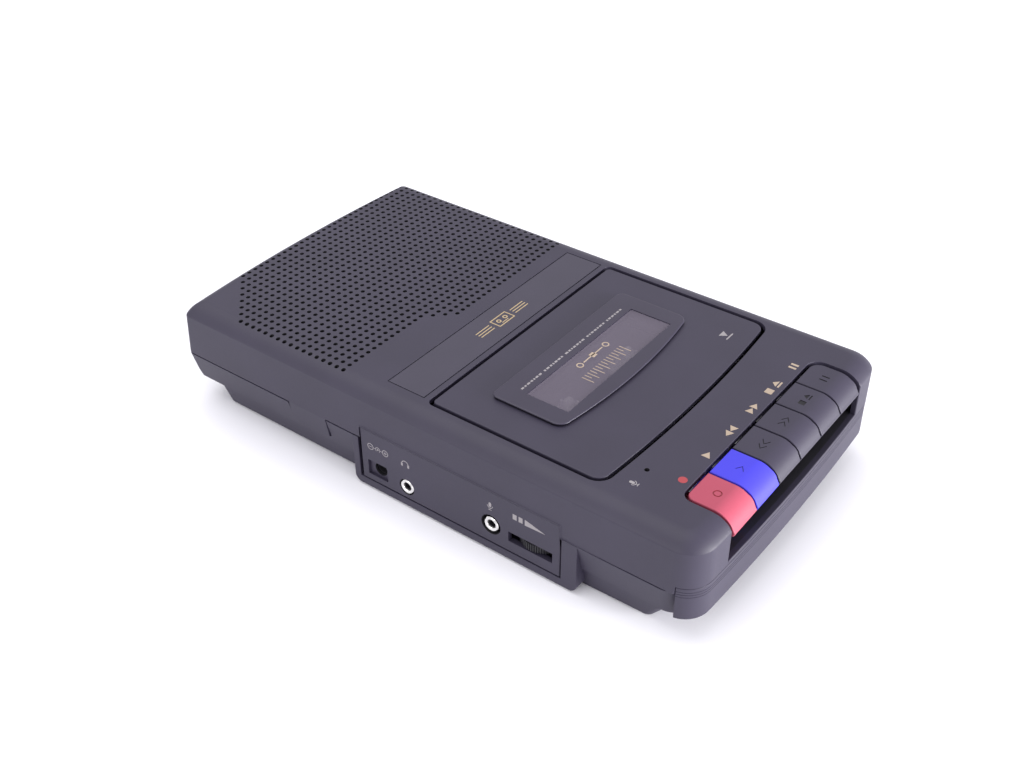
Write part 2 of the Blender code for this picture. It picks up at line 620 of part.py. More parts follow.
def battery_contacts():
    x = BATTERY_HALF_W
    for label, side in (("left", -1), ("right", 1)):
        plate = sorted((side * (x - 0.3), side * (x - 0.9)))
        box(f"battery_contact_{label}", plate, (60.0, 106.0), (6.0, 26.0), "nickel")


def feet_and_screws():
    spots = [(-54, -92), (54, -92), (-57.5, 48), (57.5, 48)]
    for i, (x, y) in enumerate(spots, 1):
        cylinder(f"foot_{i}", (x, y, 0.35), 5.0, 0.7, slot="rubber", sides=24)
    for i, (x, y) in enumerate(SCREWS, 1):
        head = cylinder(f"case_screw_{i}", (x, y, 1.75), 2.6, 1.1, slot="steel", sides=16)
        cut(head, box(f"cut_screw_{i}a", (x - 1.6, x + 1.6), (y - 0.3, y + 0.3), (0, 1.8)),
            box(f"cut_screw_{i}b", (x - 0.3, x + 0.3), (y - 1.6, y + 1.6), (0, 1.8)))


def build():
    upper_case()
    lower_case()
    battery_cover()
    carry_handle()
    cassette_door()
    door_bezel()
    door_window()
    cassette_holder()
    cassette_spring("cassette_spring_left", -40.0)
    cassette_spring("cassette_spring_right", 40.0)
    names = ("record_key", "play_key", "rewind_key", "fast_forward_key", "stop_eject_key",
             "pause_key")
    slots = ("red", "blue", "charcoal", "charcoal", "charcoal", "charcoal")
    for index, (name, slot) in enumerate(zip(names, slots)):
        key(name, index, slot)
    key_rod()
    key_bracket("key_bracket_left", -54.8)
    key_bracket("key_bracket_right", 54.8)
    tape_chassis()
    spindle("supply_spindle", -HUB_X, "ivory")
    spindle("takeup_spindle", HUB_X, "ivory")
    flywheel()
    motor()
    motor_pulley()
    drive_belt()
    head_plate()
    head_block("record_play_head", 0.0, 12.0, 9.5, "nickel")
    head_block("erase_head", -24.0, 8.0, 9.0, "dark")
    pinch_arm()
    pinch_roller()
    speaker()
    socket("earphone_jack", EARPHONE, "nickel")
    socket("mic_jack", MIC_SOCKET, "nickel")
    dc_jack()
    volume_control()
    main_board()
    board_parts()
    mic_capsule()
    battery_contacts()
    feet_and_screws()


build()
for thing in bpy.data.objects:
    thing.location.y += CENTRE_Y * MM
bpy.context.view_layer.update()
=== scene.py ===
"""Looks of a portable cassette recorder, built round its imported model.

Positions come from the model's own boxes. Lengths below are millimetres, and MM
turns them into metres. -Y is the front edge with the keys, -X the side with the
sockets, +Y the speaker end. Pieces are drawn about a middle that lies CENTRE_Y
from the model's origin: span() reads the model that way and mount() moves each
finished piece back.
"""

import math

import bmesh
import bpy
from mathutils import Matrix, Vector


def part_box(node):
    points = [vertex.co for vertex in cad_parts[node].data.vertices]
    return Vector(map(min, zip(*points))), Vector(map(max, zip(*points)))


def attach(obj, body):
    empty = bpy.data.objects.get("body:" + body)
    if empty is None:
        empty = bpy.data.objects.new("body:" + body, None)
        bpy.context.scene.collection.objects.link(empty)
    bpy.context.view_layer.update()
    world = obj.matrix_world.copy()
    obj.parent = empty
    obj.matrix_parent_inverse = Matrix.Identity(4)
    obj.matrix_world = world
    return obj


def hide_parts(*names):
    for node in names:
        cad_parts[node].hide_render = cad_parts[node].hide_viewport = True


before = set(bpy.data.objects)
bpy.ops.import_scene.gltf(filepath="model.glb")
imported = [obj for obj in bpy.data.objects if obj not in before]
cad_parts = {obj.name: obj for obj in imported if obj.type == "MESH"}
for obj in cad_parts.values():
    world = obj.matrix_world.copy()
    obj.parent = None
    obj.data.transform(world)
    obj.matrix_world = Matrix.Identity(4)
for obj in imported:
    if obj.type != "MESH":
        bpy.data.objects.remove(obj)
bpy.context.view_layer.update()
MM = 0.001
CENTRE_Y = -1.95  # where the drawing's middle lies in the model's frame


def span(node):
    """A node's extent in millimetres: ((x0, x1), (y0, y1), (z0, z1))."""
    low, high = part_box(node)
    middle = (0.0, CENTRE_Y, 0.0)
    return [(low[i] / MM - middle[i], high[i] / MM - middle[i]) for i in range(3)]


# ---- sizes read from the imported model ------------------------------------
CASE = span("upper_case")
DOOR = span("cassette_door")
BEZEL = span("door_bezel")
WINDOW = span("door_window")
HANDLE = span("carry_handle")
WHEEL = span("volume_wheel")
COVER = span("battery_cover")
DC = span("dc_jack")
KEYS = ["record_key", "play_key", "rewind_key", "fast_forward_key", "stop_eject_key",
        "pause_key"]
HALF_W = CASE[0][1]
TOP_Z = CASE[2][1]
FRONT_BOW, REAR_BOW = 1.4, 2.6
REAR_LEAN, REAR_CORNER_R = 1.6, 2.8
FRONT_Y = CASE[1][0] + FRONT_BOW
REAR_Y = CASE[1][1] - REAR_BOW
SEAM_Z = 24.3
SHOULDER_R, SHOULDER_DEG = 10.9, 55.2
DOOR_GAP = 1.7
BAY_HALF_W, BAY_REAR_Y, BAY_FLOOR_Z = 51.2, -104.1, 29.8
HANDLE_Y = -116.2
GRILLE_PITCH = 3.6
PANEL_Y = (-68.9, 27.2)  # ends of the socket panel
SEAM_GAP = 0.15  # half of the line between the two halves of the case
WALL = 2.3  # thickness of the case
CAMERA_PLACE = (-0.34661, -0.25625, 0.33702)  # metres
CAMERA_BACK = (-0.6439, -0.4836, 0.5929)  # from the subject towards the camera
CAMERA_ROLL_DEG = -0.17
FOCAL_LENGTH, SENSOR_WIDTH = 44.53, 36.0


# ---- materials --------------------------------------------------------------
def link(tree, source, target):
    tree.links.new(source, target)


def finish_of(name, colour, rough, metal=0.0, grain=2600.0, bump=0.25, depth=0.03,
              mottle=0.07, uneven=0.06, sheen=0.0, alpha=1.0, specular=0.5, stretch=(1, 1, 1)):
    """Moulded or plated surface: mottled colour, uneven gloss and a fine grain."""
    made = bpy.data.materials.new(name)
    made.use_nodes = True
    tree = made.node_tree
    shader = tree.nodes["Principled BSDF"]
    shader.inputs["Metallic"].default_value = metal
    shader.inputs["Sheen Weight"].default_value = sheen
    shader.inputs["Specular IOR Level"].default_value = specular
    shader.inputs["Alpha"].default_value = alpha
    place = tree.nodes.new("ShaderNodeTexCoord")
    scaled = tree.nodes.new("ShaderNodeMapping")
    scaled.inputs["Scale"].default_value = stretch
    link(tree, place.outputs["Object"], scaled.inputs["Vector"])
    clouds = tree.nodes.new("ShaderNodeTexNoise")
    clouds.inputs["Scale"].default_value = 38.0
    clouds.inputs["Detail"].default_value = 6.0
    link(tree, scaled.outputs["Vector"], clouds.inputs["Vector"])
    tint = tree.nodes.new("ShaderNodeValToRGB")
    tint.color_ramp.elements[0].position = 0.3
    tint.color_ramp.elements[1].position = 0.7
    tint.color_ramp.elements[0].color = [c * (1 - mottle) for c in colour] + [1]
    tint.color_ramp.elements[1].color = [min(1, c * (1 + mottle)) for c in colour] + [1]
    link(tree, clouds.outputs["Fac"], tint.inputs["Fac"])
    link(tree, tint.outputs["Color"], shader.inputs["Base Color"])
    fine = tree.nodes.new("ShaderNodeTexNoise")
    fine.inputs["Scale"].default_value = grain
    fine.inputs["Detail"].default_value = 3.0
    link(tree, scaled.outputs["Vector"], fine.inputs["Vector"])
    gloss = tree.nodes.new("ShaderNodeMapRange")
    gloss.inputs["To Min"].default_value = max(0.02, rough - uneven)
    gloss.inputs["To Max"].default_value = min(1.0, rough + uneven)
    link(tree, fine.outputs["Fac"], gloss.inputs["Value"])
    link(tree, gloss.outputs["Result"], shader.inputs["Roughness"])
    rise = tree.nodes.new("ShaderNodeBump")
    rise.inputs["Strength"].default_value = bump
    rise.inputs["Distance"].default_value = depth * MM
    link(tree, fine.outputs["Fac"], rise.inputs["Height"])
    link(tree, rise.outputs["Normal"], shader.inputs["Normal"])
    return made


CHARCOAL = (0.030, 0.0255, 0.046)
FINISH = {
    "charcoal": finish_of("charcoal_plastic", CHARCOAL, 0.5, specular=0.42),
    "dark": finish_of("dark_plastic", (0.012, 0.011, 0.015), 0.5),
    "gloss": finish_of("polished_dark_plastic", (0.032, 0.027, 0.047), 0.36, grain=3200,
                       bump=0.05, depth=0.01, specular=0.4),
    "red": finish_of("red_plastic", (0.36, 0.060, 0.098), 0.52, grain=2200, bump=0.15,
                     mottle=0.04, specular=0.3),
    "blue": finish_of("blue_plastic", (0.046, 0.040, 0.56), 0.5, grain=2200, bump=0.15,
                      mottle=0.04, specular=0.35),
    "clear": finish_of("window_plastic", (0.150, 0.128, 0.172), 0.2, grain=3200, bump=0.02,
                       depth=0.01, mottle=0.03, uneven=0.02, alpha=0.55),
    "steel": finish_of("brushed_steel", (0.46, 0.46, 0.48), 0.34, 1.0, grain=900,
                       stretch=(1, 14, 1), bump=0.2),
    "nickel": finish_of("plated_nickel", (0.82, 0.81, 0.79), 0.16, 1.0, grain=1200,
                        bump=0.08, depth=0.01, mottle=0.04),
    "brass": finish_of("machined_brass", (0.70, 0.52, 0.24), 0.3, 1.0, grain=1500,
                       stretch=(1, 1, 9), bump=0.15),
    "rubber": finish_of("black_rubber", (0.014, 0.014, 0.014), 0.82, grain=1700, bump=0.5,
                        depth=0.08),
    "board": finish_of("circuit_board", (0.33, 0.20, 0.07), 0.55, grain=1300,
                       stretch=(1, 6, 1), mottle=0.14),
    "paper": finish_of("cone_paper", (0.035, 0.032, 0.03), 0.9, grain=1500, bump=0.6,
                       depth=0.1, mottle=0.15),
    "ivory": finish_of("moulded_ivory", (0.72, 0.70, 0.64), 0.3, grain=1500, bump=0.12),
    "ferrite": finish_of("ferrite_grey", (0.05, 0.05, 0.055), 0.55, grain=1900, bump=0.3),
}
PRINT = finish_of("tan_print", (0.37, 0.29, 0.22), 0.55, grain=4000, mottle=0.1)
PRINT_RED = finish_of("red_print", (0.34, 0.04, 0.05), 0.55, grain=4000, mottle=0.1)
GOLD = finish_of("gold_foil", (0.56, 0.43, 0.25), 0.35, 0.6, grain=4000, mottle=0.1)
INK_PALE = finish_of("pale_print", (0.27, 0.25, 0.26), 0.55, grain=4000, mottle=0.08)
# Near-black colour for hole walls, bores, engravings and the inside of the case: painted shade
# in recesses.
RECESS_SHADE = finish_of("painted_recess_shade", (0.010, 0.009, 0.013), 0.7)
CLOTH = finish_of("grille_cloth", (0.006, 0.006, 0.008), 0.95, grain=2500, bump=0.8,
                  depth=0.2, sheen=0.1)
# Darker red and blue for the engraved symbols on the coloured keys: painted shade in the
# engravings.
RED_ENGRAVING_SHADE = finish_of("red_engraving_painted_shade", (0.30, 0.035, 0.055), 0.6)
BLUE_ENGRAVING_SHADE = finish_of("blue_engraving_painted_shade", (0.022, 0.020, 0.26), 0.6)
STRIP = finish_of("name_strip_plastic", (0.034, 0.029, 0.050), 0.44, grain=3400, bump=0.16)
# Spindle colour: white plastic, lightened to near white as a painted glint that shows through
# the window.
SPINDLE_GLINT = finish_of("spindle_painted_glint", (0.92, 0.91, 0.89), 0.22, grain=900, bump=0.05,
                   depth=0.01)
# Near-black gloss for the bezel's side faces: painted shade of the undercut below the bezel's
# edge.
UNDERCUT_SHADE = finish_of("bezel_undercut_painted_shade", (0.006, 0.005, 0.009), 0.22, grain=3200, bump=0.03,
                  depth=0.01, specular=0.4)


# ---- mesh helpers, all in millimetres --------------------------------------------
def add(name, bm, finish=None):
    bmesh.ops.recalc_face_normals(bm, faces=bm.faces)
    bmesh.ops.scale(bm, vec=(MM, MM, MM), verts=bm.verts)
    mesh = bpy.data.meshes.new(name)
    bm.to_mesh(mesh)
    bm.free()
    thing = bpy.data.objects.new(name, mesh)
    bpy.context.scene.collection.objects.link(thing)
    if finish:
        mesh.materials.append(finish)
    return thing


def settle(thing):
    """Make the modifiers part of the mesh."""
    bpy.context.view_layer.update()
    graph = bpy.context.evaluated_depsgraph_get()
    mesh = bpy.data.meshes.new_from_object(thing.evaluated_get(graph), depsgraph=graph,
                                           preserve_all_data_layers=True)
    thing.modifiers.clear()
    thing.data = mesh
    return thing


def combine(thing, others, operation):
    for other in others:
        step = thing.modifiers.new("combine", "BOOLEAN")
        step.operation = operation
        step.object = other
        step.solver = "EXACT"
        step.material_mode = "TRANSFER"
    settle(thing)
    for other in others:
        bpy.data.objects.remove(other, do_unlink=True)
    return thing


def cut(thing, *others):
    return combine(thing, others, "DIFFERENCE")


def join(thing, *others):
    return combine(thing, others, "UNION")


def soften(thing, width, segments=2, angle=30.0, where=None):
    """Round the edges sharper than the angle whose middle passes the test."""
    bm = bmesh.new()
    bm.from_mesh(thing.data)
    bm.normal_update()
    sharp = []
    for edge in bm.edges:
        if len(edge.link_faces) == 2 and edge.calc_face_angle(0.0) > math.radians(angle):
            middle = (edge.verts[0].co + edge.verts[1].co) / 2 / MM
            if where is None or where(middle):
                sharp.append(edge)
    bmesh.ops.bevel(bm, geom=sharp, offset=width * MM, offset_type="OFFSET",
                    segments=segments, profile=0.5, affect="EDGES", clamp_overlap=False)
    bm.to_mesh(thing.data)
    bm.free()
    return thing


def shade(thing, angle=30.0):
    """Smooth shading that stays crisp at edges sharper than the angle."""
    thing.data.shade_smooth()
    thing.data.set_sharp_from_angle(angle=math.radians(angle))
    step = thing.modifiers.new("weighted", "WEIGHTED_NORMAL")
    step.keep_sharp = True
    return settle(thing)


def box(name, x, y, z, finish=None):
    bm = bmesh.new()
    bmesh.ops.create_cube(bm, size=1.0)
    bmesh.ops.scale(bm, vec=(x[1] - x[0], y[1] - y[0], z[1] - z[0]), verts=bm.verts)
    bmesh.ops.translate(bm, vec=((x[0] + x[1]) / 2, (y[0] + y[1]) / 2, (z[0] + z[1]) / 2),
                        verts=bm.verts)
    return add(name, bm, finish)


TURN = {"X": Matrix.Rotation(math.pi / 2, 4, "Y"), "Y": Matrix.Rotation(-math.pi / 2, 4, "X"),
        "Z": Matrix.Identity(4)}


def rod(name, centre, radius, length, axis="Z", finish=None, sides=48):
    bm = bmesh.new()
    bmesh.ops.create_cone(bm, cap_ends=True, segments=sides, radius1=radius,
                          radius2=radius, depth=length,
                          matrix=Matrix.Translation(centre) @ TURN[axis])
    return add(name, bm, finish)


PLACE = {"X": lambda a, b, c: (c, a, b), "Y": lambda a, b, c: (a, c, b),
         "Z": lambda a, b, c: (a, b, c)}


def prism(name, outline, low, high, axis="Z", finish=None):
    bm = bmesh.new()
    add_prism(bm, outline, low, high, axis)
    return add(name, bm, finish)


def add_prism(bm, outline, low, high, axis="Z"):
    place = PLACE[axis]
    under = [bm.verts.new(place(a, b, low)) for a, b in outline]
    over = [bm.verts.new(place(a, b, high)) for a, b in outline]
    count = len(outline)
    bm.faces.new(list(reversed(under)))
    bm.faces.new(over)
    for i in range(count):
        j = (i + 1) % count
        bm.faces.new((under[i], under[j], over[j], over[i]))


def add_ring(bm, centre, outer, inner, low, high, axis="Z", sides=40, start=0.0, turn=360.0):
    """A flat ring, or part of one, as an upright band."""
    place = PLACE[axis]
    whole = turn >= 359.9
    count = sides if whole else sides + 1
    rows = []
    for i in range(count):
        angle = math.radians(start + turn * i / sides)
        c, s = math.cos(angle), math.sin(angle)
        rows.append([bm.verts.new(place(centre[0] + r * c, centre[1] + r * s, h))
                     for r, h in ((inner, low), (outer, low), (outer, high), (inner, high))])
    for i in range(sides):
        a, b = rows[i], rows[(i + 1) % count]
        for k in range(4):
            m = (k + 1) % 4
            bm.faces.new((a[k], a[m], b[m], b[k]))
    if not whole:
        bm.faces.new(rows[0])
        bm.faces.new(list(reversed(rows[-1])))


def arc(centre, radius, start, end, steps):
    return [(centre[0] + radius * math.cos(math.radians(start + (end - start) * i / steps)),
             centre[1] + radius * math.sin(math.radians(start + (end - start) * i / steps)))
            for i in range(steps + 1)]


def bowed(half_w, front, rear, r_front, r_rear, bow_front=0.0, bow_rear=0.0, corner=12,
          along=20):
    """Rounded rectangle, counter-clockwise, whose front and rear edges may bulge out."""
    points = []

    def edge(x_from, x_to, y, bow):
        reach = max(abs(x_from), abs(x_to))
        for i in range(1, along):
            x = x_from + (x_to - x_from) * i / along
            points.append((x, y + bow * (1 - (x / reach) ** 2)))

    points += arc((-half_w + r_front, front + r_front), r_front, 180, 270, corner)
    edge(-half_w + r_front, half_w - r_front, front, -bow_front)
    points += arc((half_w - r_front, front + r_front), r_front, 270, 360, corner)
    points += arc((half_w - r_rear, rear - r_rear), r_rear, 0, 90, corner)
    edge(half_w - r_rear, -half_w + r_rear, rear, bow_rear)
    points += arc((-half_w + r_rear, rear - r_rear), r_rear, 90, 180, corner)
    return points


def loft(name, sections, finish=None):
    """Skin outlines of equal point count, given as (height, outline) pairs."""
    bm = bmesh.new()
    rings = [[bm.verts.new((x, y, z)) for x, y in pts] for z, pts in sections]
    for low, high in zip(rings, rings[1:]):
        for i in range(len(low)):
            j = (i + 1) % len(low)
            bm.faces.new((low[i], low[j], high[j], high[i]))
    bm.faces.new(list(reversed(rings[0])))
    bm.faces.new(rings[-1])
    return add(name, bm, finish)


def spun(name, profile, centre, finish=None, sides=64):
    """Turn (radius, height) points about a vertical axis."""
    bm = bmesh.new()
    chain = [bm.verts.new((r, 0, z)) for r, z in profile]
    for a, b in zip(chain, chain[1:]):
        bm.edges.new((a, b))
    if profile[0][0] > 1e-6 and profile[-1][0] > 1e-6:
        bm.edges.new((chain[-1], chain[0]))
    bmesh.ops.spin(bm, geom=bm.verts[:] + bm.edges[:], cent=(0, 0, 0), axis=(0, 0, 1),
                   angle=2 * math.pi, steps=sides, use_merge=True, use_duplicate=False)
    bmesh.ops.remove_doubles(bm, verts=bm.verts, dist=1e-3)
    bmesh.ops.translate(bm, vec=centre, verts=bm.verts)
    return add(name, bm, finish)


def mount(thing, body, slot, *nodes):
    """Move to the model's origin, ride the body and stand for the nodes."""
    thing.data.transform(Matrix.Translation((0.0, CENTRE_Y * MM, 0.0)))
    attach(thing, body)
    if nodes:
        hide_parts(*nodes)
    return thing


# ---- upper case ------------------------------------------------------------------
def case_section(height):
    """Outline of the upper case at a height: upright walls, then a rounded shoulder."""
    crease = TOP_Z - SHOULDER_R * (1 - math.cos(math.radians(SHOULDER_DEG)))
    if height <= crease + 1e-6:
        lean = REAR_LEAN * (crease - height) / (crease - SEAM_Z)
        return bowed(HALF_W, FRONT_Y, REAR_Y - REAR_LEAN + lean, 11.0, REAR_CORNER_R,
                     FRONT_BOW, REAR_BOW)
    angle = math.acos(1 - (TOP_Z - height) / SHOULDER_R)
    inset = SHOULDER_R * (math.sin(math.radians(SHOULDER_DEG)) - math.sin(angle))
    return bowed(HALF_W - inset, FRONT_Y + inset, REAR_Y - REAR_LEAN - 0.6 * inset,
                 11.0 - inset, REAR_CORNER_R - 0.2 * inset, FRONT_BOW, REAR_BOW)


def door_outline(grow):
    """The lid's outline in plan, widened all round."""
    return bowed(DOOR[0][1] + grow, DOOR[1][0] + 2.4 - grow, DOOR[1][1] + min(grow, 1.5),
                 5.0 + grow, 2.0 + 0.5 * grow, 2.4, 0.0, 10, 16)


def grille_spots():
    """Centres of the speaker holes: a square grid that loses its front left corner."""
    spots = []
    for row in range(27):
        first = {24: 14, 25: 15, 26: 16}.get(row, max(0, 7 - row))
        y = 28.9 + 3.59 * (26 - row)
        for column in range(first, 37):
            spots.append((-64.8 + GRILLE_PITCH * column, y))
    return spots


def upper_case():
    steps = 9
    angles = [math.radians(SHOULDER_DEG * i / steps) for i in range(steps, -1, -1)]
    heights = [SEAM_Z + SEAM_GAP] + [TOP_Z - SHOULDER_R * (1 - math.cos(a)) for a in angles]
    body = loft("case_top", [(z, case_section(z)) for z in heights], FINISH["charcoal"])
    # The inside of the case takes the near-black recess colour: painted shade.
    hollow = loft("hollow", [
        (SEAM_Z - 3, bowed(HALF_W - WALL, FRONT_Y + WALL, REAR_Y - WALL, 8, 4, 1.4, 2)),
        (42.0, bowed(HALF_W - WALL, FRONT_Y + WALL, REAR_Y - 3.9, 8, 4, 1.4, 2)),
        (TOP_Z - 2.2, bowed(62.0, FRONT_Y + 10, REAR_Y - 8, 3, 4, 1.4, 2))], RECESS_SHADE)
    cut(body, hollow)
    panel = box("panel", (-HALF_W, -HALF_W + WALL), PANEL_Y, (CASE[2][0], SEAM_Z + 6))
    tongue = prism("tongue", [(-HALF_W, 26.0), (-HALF_W, SEAM_Z), (-69.75, 15.0),
                              (-67.7, 15.0), (-68.9, 26.0)], 46.3, 66.7, "Y")
    sill = box("sill", (-58, 58), (FRONT_Y + 0.6, -108.0), (28.3, BAY_FLOOR_Z), FINISH["dark"])
    sides = [box("bay_side", xs, (FRONT_Y + 4, -104), (29, 47))
             for xs in ((-BAY_HALF_W - 1.8, -BAY_HALF_W), (BAY_HALF_W, BAY_HALF_W + 1.8))]
    for piece in (panel, tongue, *sides):
        piece.data.materials.append(FINISH["charcoal"])
    join(body, panel, tongue, sill, *sides)
    cut(body,
        prism("door_hole", door_outline(DOOR_GAP), 40, 60),
        prism("bay", arc((BAY_HALF_W - 6, BAY_REAR_Y - 6), 6, 0, 90, 12)
              + arc((-BAY_HALF_W + 4.5, BAY_REAR_Y - 4.5), 4.5, 90, 180, 12)
              + [(-BAY_HALF_W, -140), (BAY_HALF_W, -140)], BAY_FLOOR_Z, 60),
        box("over_handle", (-80, 80), (-140, HANDLE_Y + 0.3), (0, 28.3)),
        box("strip_pocket", (-60.3, 61.0), (2.4, 20.8), (TOP_Z - 0.5, 60)))
    soften(body, 0.22, where=lambda m: m.z > TOP_Z - 0.3)
    soften(body, 0.45, 3, where=lambda m: m.z < TOP_Z - 0.3 and (
        abs(m.x) > HALF_W - 0.3 or m.y < FRONT_Y + 0.5 or m.y > REAR_Y - 3.0))
    # The mic and socket holes get near-black walls from their cutters: painted shade.
    cut(body,
        rod("mic_hole", (-45.8, -87.6, 47), 1.0, 6, finish=RECESS_SHADE, sides=24),
        box("dc_recess", (-80, -HALF_W + 1.2), (13.8, 24.0), (8.1, 15.3)),
        rod("dc_hole", (-70, 18.2, 12.0), 3.1, 8, "X", RECESS_SHADE, 32),
        rod("earphone_hole", (-70, 4.0, 10.8), 3.7, 8, "X", RECESS_SHADE, 40),
        rod("mic_socket_hole", (-70, -37.5, 13.9), 4.5, 8, "X", RECESS_SHADE, 40),
        box("wheel_slot", (-80, -66), (-65.6, -45.6), (10.2, 14.9)))
    # The speaker holes' walls take the same painted shade.
    bm = bmesh.new()
    ring = [(0.97 * math.cos(math.tau * i / 14), 0.97 * math.sin(math.tau * i / 14))
            for i in range(14)]
    for x, y in grille_spots():
        add_prism(bm, [(x + a, y + b) for a, b in ring], 43.2, 60)
    cut(body, add("grille_holes", bm, RECESS_SHADE))
    mount(shade(body), "case", "charcoal", "upper_case")


def grille_cloth():
    profile = [(-67.6, 42.2), (-61.7, 46.0), (61.7, 46.0), (67.6, 42.2), (67.3, 42.0),
               (61.6, 45.8), (-61.6, 45.8), (-67.3, 42.0)]
    cloth = prism("speaker_cloth", profile, 27.0, 116.5, "Y", CLOTH)
    mount(shade(cloth), "case", "paper")


# ---- lower case, cover, feet ----------------------------------------------------
def lower_case():
    body = loft("case_bottom", [
        (11.5, bowed(68.3, -118.0, REAR_Y - 1.6, 8, 2.8, 0, REAR_BOW)),
        (15.0, bowed(69.1, -118.0, REAR_Y - 0.5, 8, 2.8, 0, REAR_BOW)),
        (SEAM_Z - SEAM_GAP, bowed(HALF_W, -118.0, REAR_Y, 8, 2.8, 0, REAR_BOW))],
        FINISH["charcoal"])
    base = loft("base", [(1.0, bowed(64.8, -104.2, 112.8, 3, 3)),
                         (12.5, bowed(67.3, -112.5, 116.1, 3, 3))], FINISH["charcoal"])
    corner = 3.2
    rim = (arc((-76.2 + corner, 1.0 + corner), corner, 180, 270, 10)
           + arc((31.8 - corner, 1.0 + corner), corner, 270, 360, 10)
           + [(31.8, SEAM_Z - SEAM_GAP), (-76.2, SEAM_Z - SEAM_GAP)])
    surround = prism("surround", rim, -HALF_W, -60.0, "X", FINISH["charcoal"])
    join(body, base, surround)
    # The inside takes the near-black dark plastic: painted shade in the hollow.
    hollow = loft("hollow", [
        (3.2, bowed(61.5, -101.0, 110.0, 3, 3)),
        (13.5, bowed(65.3, -112.0, REAR_Y - 5.0, 6, 4, 0, 2)),
        (SEAM_Z + 3, bowed(HALF_W - 2.6, -114.6, REAR_Y - 2.6, 6, 4, 0, 2))], FINISH["dark"])
    wells = [rod("well", (x, y, 0.5), 3.2, 4.0, sides=32)
             for x, y in ((-54, -72), (54, -72), (-59, 64), (59, 64))]
    cut(body, *wells)
    cut(body, hollow,
        box("corner_left", (-80, -64.2), (-140, HANDLE_Y + 0.4), (0, 40)),
        box("corner_right", (64.2, 80), (-140, HANDLE_Y + 0.4), (0, 40)),
        box("panel_window", (-80, -59.5), (-69.3, 28.6), (4.6, 40)),
        box("tongue_slot", (-80, -66.5), (45.9, 67.1), (14.7, 40)),
        box("arm_slot_left", (-63.8, -58.6), (-130, -105), (17.4, 40)),
        box("arm_slot_right", (58.6, 63.8), (-130, -105), (17.4, 40)))
    tub = box("tub", (-54.5, 54.5), (52.6, 108.7), (2.0, 30.8), FINISH["dark"])
    join(body, tub)
    cut(body, box("tub_hole", (-52.5, 52.5), (54.6, 107.2), (-5, 29.4)),
        prism("cover_place", [(53.6, -5), (120, -5), (120, 9.3), (102.2, 9.3), (102.2, 3.5),
                              (53.6, 3.5)], -53.4, 53.4, "X"))
    soften(body, 0.3, where=lambda m: m.z < 1.3 or abs(m.x) > HALF_W - 0.2
           or (m.y > REAR_Y - 2.5 and m.z < 24.3))
    mount(shade(body), "case", "charcoal", "lower_case")


def battery_cover():
    front = COVER[1][0]
    lid = prism("battery_lid", [(front, 1.0), (112.6, 1.0), (114.9, 8.9), (113.1, 8.9),
                                (111.5, 3.1), (front, 3.1)], -53.0, 53.0, "X",
                FINISH["charcoal"])
    soften(lid, 0.4)
    for i in range(9):
        y = front + 6 + 2.2 * i
        cut(lid, box("rib_groove", (-22, 22), (y, y + 1.1), (0, 1.35)))
    arrow = prism("arrow", [(-5.0, front + 28.5), (5.0, front + 28.5), (0.0, front + 35.5)],
                  0.0, 1.3)
    cut(lid, arrow)
    mount(shade(lid), "battery_cover", "charcoal", "battery_cover")


def feet():
    for i in range(1, 5):
        (x0, x1), (y0, y1), (z0, z1) = span(f"foot_{i}")
        pad = spun(f"foot_pad_{i}", [(0.0, z0), (4.2, z0), (4.7, z0 + 0.12), (5.0, z0 + 0.4),
                                     (5.0, z1), (0.0, z1)],
                   ((x0 + x1) / 2, (y0 + y1) / 2, 0), FINISH["rubber"])
        mount(shade(pad), "case", "rubber", f"foot_{i}")


def carry_handle():
    low, high = HANDLE[2]
    sections = []

    def ring(z, inset):
        sections.append((z, bowed(HALF_W - inset, FRONT_Y + inset, -90.0, 11.0 - inset, 3.0,
                                  FRONT_BOW, 0.0)))

    ring(low, 0.75)
    ring(low + 0.2, 0.35)
    ring(low + 0.6, 0.08)
    ring(low + 1.4, 0.0)
    for line in range(3):
        z = high - 4.0 + 1.15 * line
        ring(z - 0.16, 0.08)
        ring(z, 0.36)
        ring(z + 0.16, 0.08)
    ring(high - 0.5, 0.05)
    ring(high - 0.12, 0.2)
    ring(high, 0.5)
    bar = loft("handle_bar", sections, FINISH["charcoal"])
    cut(bar, box("rear_cut", (-90, 90), (HANDLE_Y, 0), (0, 60)),
        box("middle_cut", (-64.5, 64.5), (-118.5, -80), (0, 60)))
    arms = []
    for side in (-1, 1):
        xs = sorted((side * 59.2, side * 63.2))
        arms.append(box("arm", xs, (-120.5, -74.0), (18.0, 23.6), FINISH["charcoal"]))
    join(bar, *arms)
    mount(shade(bar, 24), "carry_handle", "charcoal", "carry_handle")


# ---- cassette lid -----------------------------------------------------------------
def cassette_lid():
    z0, z1 = TOP_Z - 2.2, TOP_Z
    lid = prism("lid", door_outline(0), z0, z1, "Z", FINISH["charcoal"])
    cut(lid, prism("lid_window", [(-37.6, -48.6), (37.6, -48.6), (37.6, -27.2),
                                  (-37.6, -27.2)], 40, 60))
    soften(lid, 0.45, 3)
    for side in (-1, 1):
        pin = rod("pin", (side * 57.5, -3.2, 46.5), 1.6, 5.2, "X", FINISH["charcoal"], 24)
        join(lid, pin)
    mount(shade(lid), "cassette_lid", "charcoal", "cassette_door")


